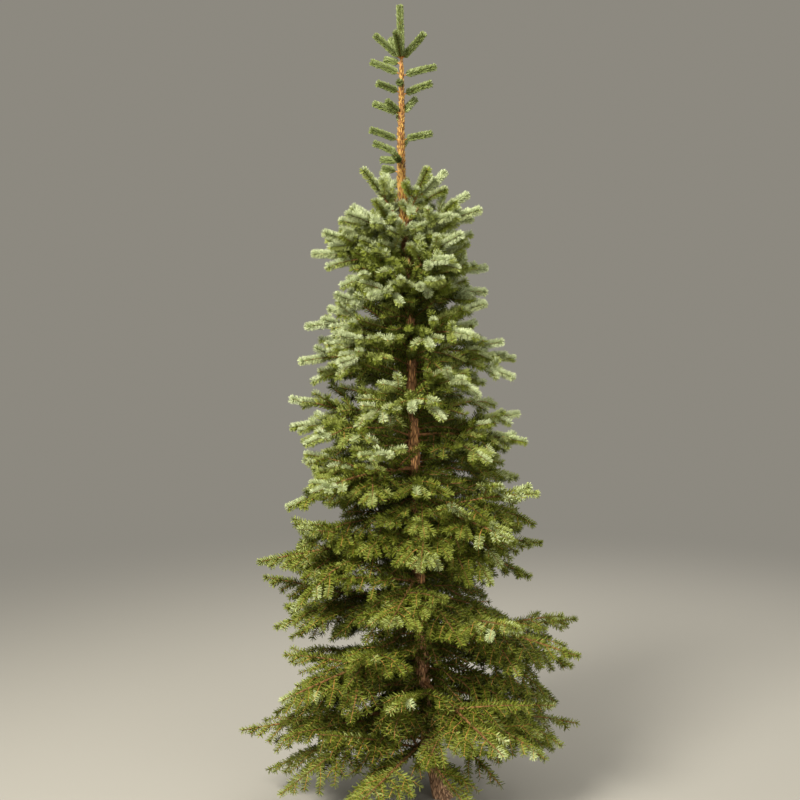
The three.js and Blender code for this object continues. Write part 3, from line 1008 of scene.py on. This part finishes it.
def grow_between(rng):
    """Lesser branches that leave the trunk between the masses of each tier."""
    for tier, (height, _, left, right, start_rise, end_rise) in enumerate(TIERS):
        down = tier / (len(TIERS) - 1)
        ring = round(mix(*BETWEEN_RING, low_share(down))) if tier else BETWEEN_TOP_RING
        clear = CLEAR_AHEAD_AT_FOOT if height < FOOT_BELOW else CLEAR_AHEAD
        for place in range(ring):
            base_height = height - BETWEEN_DROP * rng.random()
            azimuth = TIER_AZIMUTH + TIER_TURN * tier + 360 * (place + 0.5) / ring + rng.normal(0, 12)
            if base_height < LOWEST_BASE or (height < CLEAR_BELOW and from_ahead(azimuth) < clear):
                continue
            side = (1 + math.cos(math.radians(azimuth))) / 2
            reach = mix(left, right, side) * rng.uniform(*BETWEEN_REACH)
            rise = mix(*BETWEEN_RISE, down) + rng.normal(0, 13)
            droop = BETWEEN_DROOP * low_share(down) * min(1, (height - 120) / 300)
            curve = limb_curve(trunk_centre(base_height), azimuth, rng.normal(0, 16), reach,
                               start_rise + rise, end_rise + rise - droop, 8)
            curve[1:-1] += rng.normal(0, 3, (len(curve) - 2, 3))
            if curve[:, 2].min() < LOWEST_LIMB or hides_trunk(curve):
                continue
            foot_radius = STEM_RADIUS + BETWEEN_RADIUS_PER_LENGTH * reach
            radii = np.linspace(foot_radius, LIMB_TIP_RADIUS, len(curve))
            grow_branch(curve, 0.08, radii, Site(down, rng.normal(0, 0.05)), rng)


def grow_trunk_twigs(rng):
    """Short twigs that fill in round the trunk between the tiers."""
    for i in range(TRUNK_TWIGS):
        share = (i + rng.random()) / TRUNK_TWIGS
        z = mix(*TRUNK_TWIG_HEIGHTS, share)
        azimuth = i * TRUNK_TWIG_TURN + rng.normal(0, 10)
        if from_ahead(azimuth) < THIN_AHEAD and rng.random() < THIN_SHARE:
            continue
        azimuth = math.radians(azimuth)
        length = rng.uniform(*TRUNK_TWIG_LENGTH) * mix(1, 0.7, share)
        rise = math.radians(mix(*TRUNK_TWIG_RISE, share) + rng.normal(0, 8))
        flat = math.cos(rise)
        way = np.array([math.cos(azimuth) * flat, math.sin(azimuth) * flat, math.sin(rise)])
        site = Site(1 - share, 0)
        curve = twig_curve(trunk_centre(z), way, way, length, site)
        if not hides_trunk(curve):
            grow_branch(curve, 0.1, [2.4, 1.8, 1.2], site, rng)


LEADER_LOOK = Look(per_mm=6, length=15.5, width=2.4, lean=48, tip_lean=44, wrap=350, upsweep=0.08, crown=44)
LEADER_TOP_LOOK = replace(LEADER_LOOK, per_mm=3, lean=46, tip_lean=42, wrap=170, crown=14)


def clad_leader(curve, start, rng):
    """Green all round, and paler on top as painted light from above."""
    clad(piles["leader_green"], curve, start, 1, LEADER_LOOK, rng)
    clad(piles["leader_pale"], curve, start, 1, LEADER_TOP_LOOK, rng)


def add_shoot(curve, start, rng):
    """A short shoot of the leader, clad from start to its tip."""
    clad_leader(curve, start, rng)
    add_tube(twigs, curve, np.linspace(2.4, LIMB_TIP_RADIUS, len(curve)), sides=6)
    add_bud(curve)


def grow_leader(rng):
    """The short shoots along the leader, its upright end and the ring of shoots round that."""
    for height, azimuth, length, rise in LEADER_SHOOTS + SMALL_LEADER_SHOOTS:
        radius = trunk_radius(height)
        reach = length + radius - NEEDLES_PAST_TIP
        curve = limb_curve(trunk_centre(height), azimuth, 0, reach, rise, rise - SHOOT_DROOP)
        add_shoot(curve, (radius + 4) / length, rng)
    foot = trunk_centre(TRUNK_TOP - 4)
    top = trunk_centre(TREE_TOP) - NEEDLES_PAST_TIP * UP
    upright = np.array([foot, (foot + top) / 2, top])
    clad_leader(upright, 0.1, rng)
    add_tube(twigs, upright, [5.6, 3.4, 1.6], sides=8)
    add_bud(upright)
    for i in range(TIP_SHOOTS):
        azimuth = TIP_SHOOT_AZIMUTH + 360 * i / TIP_SHOOTS
        base = trunk_centre(TRUNK_TOP) + TIP_SHOOT_HEIGHT * UP
        length = TIP_SHOOT_LENGTH - NEEDLES_PAST_TIP
        add_shoot(limb_curve(base, azimuth, 0, length, TIP_SHOOT_RISE, TIP_SHOOT_RISE), 0.1, rng)


def grow_pegs(name, count, rng):
    """Old needles that stand up along the leader, thickest at its foot."""
    share = rng.random(count) ** 1.35
    z = mix(*PEG_HEIGHTS, share)
    angle = rng.uniform(0, 2 * np.pi, count)
    out = np.stack([np.cos(angle), np.sin(angle), np.zeros(count)], 1)
    radius = np.array([bark_radius(height) for height in z])
    roots = np.array([trunk_centre(height) for height in z]) + out * (radius - 1)[:, None]
    lean = np.radians(rng.normal(mix(*PEG_LEAN, share), 7))[:, None]
    direction = np.cos(lean) * UP + np.sin(lean) * out
    length = mix(*PEG_LENGTH, share) * rng.uniform(0.8, 1.15, count)
    around = np.cross(out, UP)
    add_needles(piles[name], roots, direction, around, length, PEG_WIDTH, rng.uniform(-0.6, 0.6, count))


# Bark finish

PLATE_STRETCH = (1 / 0.0065, 1 / 0.0065, 1 / 0.028)
CRACK_STOPS = [(0, (0.14, 0.10, 0.08)), (0.34, (1, 1, 1))]
SPOT_STOPS = [(0.3, (0.50, 0.46, 0.42)), (0.7, (1.25, 1.15, 1.05))]
# The bark's colour from the ground to the leader's top: greyer at the foot, orange-brown above, and up to
# where the crown ends painted far lighter than the bark is, as painted light against the crown's shade
BARK_AND_PAINTED_LIGHT_BY_HEIGHT = [
    (0, (0.66, 0.43, 0.26)),
    (0.06, (0.72, 0.45, 0.24)),
    (0.3, (0.80, 0.44, 0.18)),
    (0.5, (0.84, 0.47, 0.18)),
    (0.74, (0.80, 0.43, 0.17)),
    (0.82, (0.42, 0.20, 0.065)),
    (1, (0.40, 0.185, 0.055)),
]


def add_node(tree, kind, inputs=()):
    """A shader node with some of its inputs set."""
    node = tree.nodes.new("ShaderNode" + kind)
    for name, value in dict(inputs).items():
        node.inputs[name].default_value = value
    return node


def link(source, output, target, name):
    """Links one node's output to another's input."""
    source.id_data.links.new(source.outputs[output], target.inputs[name])


def add_ramp(tree, stops):
    """A colour ramp from its stops, each a position and a colour."""
    node = add_node(tree, "ValToRGB")
    elements = node.color_ramp.elements
    for element, (position, colour) in zip(elements[:], (stops[0], stops[-1])):
        element.position = position
        element.color = (*colour, 1)
    for position, colour in stops[1:-1]:
        elements.new(position).color = (*colour, 1)
    return node


def multiply(tree, first, first_output, second):
    """The first node's colour times the second's."""
    node = add_node(tree, "Mix", {"Factor": 1})
    node.data_type = "RGBA"
    node.blend_type = "MULTIPLY"
    link(first, first_output, node, "A")
    link(second, "Color", node, "B")
    return node


def add_bump(tree, grain, distance, strength):
    bump = add_node(tree, "Bump", {"Distance": distance, "Strength": strength})
    link(grain, "Fac", bump, "Height")
    link(bump, "Normal", tree.nodes["Principled BSDF"], "Normal")


def bark_material():
    """Flaky bark: plates with darker cracks between them, and a finer grain, over a colour by height that
    holds painted light under the crown.
    """
    material = bpy.data.materials.new("flaky_bark")
    material.use_nodes = True
    tree = material.node_tree
    shader = tree.nodes["Principled BSDF"]
    shader.inputs["Roughness"].default_value = 0.85
    place = add_node(tree, "TexCoord")
    split = add_node(tree, "SeparateXYZ")
    height = add_node(tree, "MapRange", {"From Max": TRUNK_TOP * MM})
    bark_and_light = add_ramp(tree, BARK_AND_PAINTED_LIGHT_BY_HEIGHT)
    stretch = add_node(tree, "Mapping", {"Scale": PLATE_STRETCH})
    plates = add_node(tree, "TexVoronoi", {"Scale": 1})
    plates.feature = "DISTANCE_TO_EDGE"
    cracks = add_ramp(tree, CRACK_STOPS)
    grain = add_node(tree, "TexNoise", {"Scale": 1.6, "Detail": 6})
    spots = add_ramp(tree, SPOT_STOPS)
    link(place, "Object", split, "Vector")
    link(split, "Z", height, "Value")
    link(height, "Result", bark_and_light, "Fac")
    link(place, "Object", stretch, "Vector")
    link(stretch, "Vector", plates, "Vector")
    link(stretch, "Vector", grain, "Vector")
    link(plates, "Distance", cracks, "Fac")
    link(grain, "Fac", spots, "Fac")
    cracked = multiply(tree, bark_and_light, "Color", cracks)
    link(multiply(tree, cracked, "Result", spots), "Result", shader, "Base Color")
    add_bump(tree, grain, 0.0015, 0.6)
    return material


def grained_material(name, dark, pale, grain_size, roughness):
    """The skin of limbs, twigs and buds: two browns, mottled and raised by a fine grain."""
    material = plain_material(name, pale, roughness)
    tree = material.node_tree
    place = add_node(tree, "TexCoord")
    grain = add_node(tree, "TexNoise", {"Scale": 1 / grain_size, "Detail": 3})
    browns = add_ramp(tree, [(0.36, dark), (0.6, pale)])
    link(place, "Object", grain, "Vector")
    link(grain, "Fac", browns, "Fac")
    link(browns, "Color", tree.nodes["Principled BSDF"], "Base Color")
    add_bump(tree, grain, 0.0008, 0.5)
    return material


# Stage

def blend_shaders(tree, share, share_output, shaders, output):
    """Shows the second shader in place of the first by a share."""
    blend = add_node(tree, "MixShader")
    link(share, share_output, blend, "Fac")
    for i, shader in enumerate(shaders):
        link(shader, 0, blend, i + 1)
    link(blend, "Shader", tree.nodes[output], "Surface")


def fading_floor():
    """A floor that fades into the backdrop's colour a few metres out."""
    material = plain_material("floor", FLOOR_COLOUR, 0.9)
    tree = material.node_tree
    place = add_node(tree, "TexCoord")
    distance = add_node(tree, "VectorMath")
    distance.operation = "LENGTH"
    fade = add_node(tree, "MapRange", {"From Min": FLOOR_FADE[0], "From Max": FLOOR_FADE[1]})
    fade.interpolation_type = "SMOOTHSTEP"
    glow = add_node(tree, "Emission", {"Color": (*BACKDROP_COLOUR, 1)})
    link(place, "Object", distance, 0)
    link(distance, "Value", fade, "Value")
    blend_shaders(tree, fade, "Result", (tree.nodes["Principled BSDF"], glow), "Material Output")
    return material


def make_stage():
    floor = add_round(96, FLOOR_RADIUS, (0, 0, 0))
    floor.name = "floor"
    floor.data.materials.append(fading_floor())
    bpy.context.scene.world = pale_sky()
    bpy.context.scene.view_settings.view_transform = "Standard"
    for lamp in LAMPS:
        add_lamp(*lamp)


def pale_sky():
    """Lights the tree as a pale sky, and shows as a plain backdrop."""
    world = bpy.data.worlds.new("sky")
    world.use_nodes = True
    tree = world.node_tree
    sky = tree.nodes["Background"]
    sky.inputs["Color"].default_value = (*SKY_COLOUR, 1)
    sky.inputs["Strength"].default_value = SKY_STRENGTH
    backdrop = add_node(tree, "Background", {"Color": (*BACKDROP_COLOUR, 1)})
    seen = add_node(tree, "LightPath")
    blend_shaders(tree, seen, "Is Camera Ray", (sky, backdrop), "World Output")
    return world


def add_lamp(name, place, size, power, colour):
    light = bpy.data.lights.new(name, "AREA")
    light.size = size
    light.energy = power
    light.color = colour
    lamp = add_object(name, light)
    lamp.location = place
    aim = Vector(LAMP_AIM) - Vector(place)
    lamp.rotation_euler = aim.to_track_quat("-Z", "Y").to_euler()


def make_camera():
    camera = add_object("camera", bpy.data.cameras.new("camera"))
    camera.data.lens = CAMERA_LENS
    camera.location = CAMERA_PLACE
    camera.rotation_euler = (math.radians(90 - CAMERA_PITCH), 0, 0)
    bpy.context.scene.camera = camera


# Putting the tree together

def make_crown():
    """All that grows on the trunk, as one piece for each tint of needles and each kind of wood."""
    rng = np.random.default_rng(SEED)
    masses = plan_tree()
    for mass in masses:
        grow_mass(mass, rng)
    grow_between(rng)
    grow_trunk_twigs(rng)
    grow_leader(rng)
    for name, count in PEG_COUNTS.items():
        grow_pegs(name, count, rng)
    foliage = [f"foliage_{mass.name}" for mass in masses]
    boughs = [f"bough_{mass.name}" for mass in masses if mass.tier >= len(TIERS) - BOUGH_TIERS]
    leader = ["leader_tip"] + [f"leader_shoot_{i + 1:02d}" for i in range(len(LEADER_SHOOTS))]
    slots = {"cool": "pale_needles", "leader": "leader_needles", "pegs": "leader_needles"}
    for name, pile in piles.items():
        material = plain_material(name + "_needles", NEEDLE_COLOURS[name], 0.55)
        kind = name.split("_")[0]
        nodes = leader if kind in ("leader", "pegs") else foliage
        pile.make("needles_" + name, material, slots.get(kind, "deep_needles"), nodes)
    limb_skin = grained_material("limb_bark", (0.115, 0.052, 0.019), (0.26, 0.125, 0.045), 0.012, 0.85)
    twig_skin = grained_material("twig_bark", (0.23, 0.10, 0.028), (0.50, 0.23, 0.065), 0.006, 0.75)
    bud_skin = grained_material("bud_scales", (0.34, 0.14, 0.04), (0.60, 0.30, 0.10), 0.002, 0.6)
    wood.make("limb_bark", limb_skin, "bough_bark", foliage + boughs)
    twigs.make("twig_bark", twig_skin, "bough_bark", foliage + leader)
    buds.make("buds", bud_skin, "bough_bark", leader)


make_trunk()
make_crown()
make_stage()
make_camera()
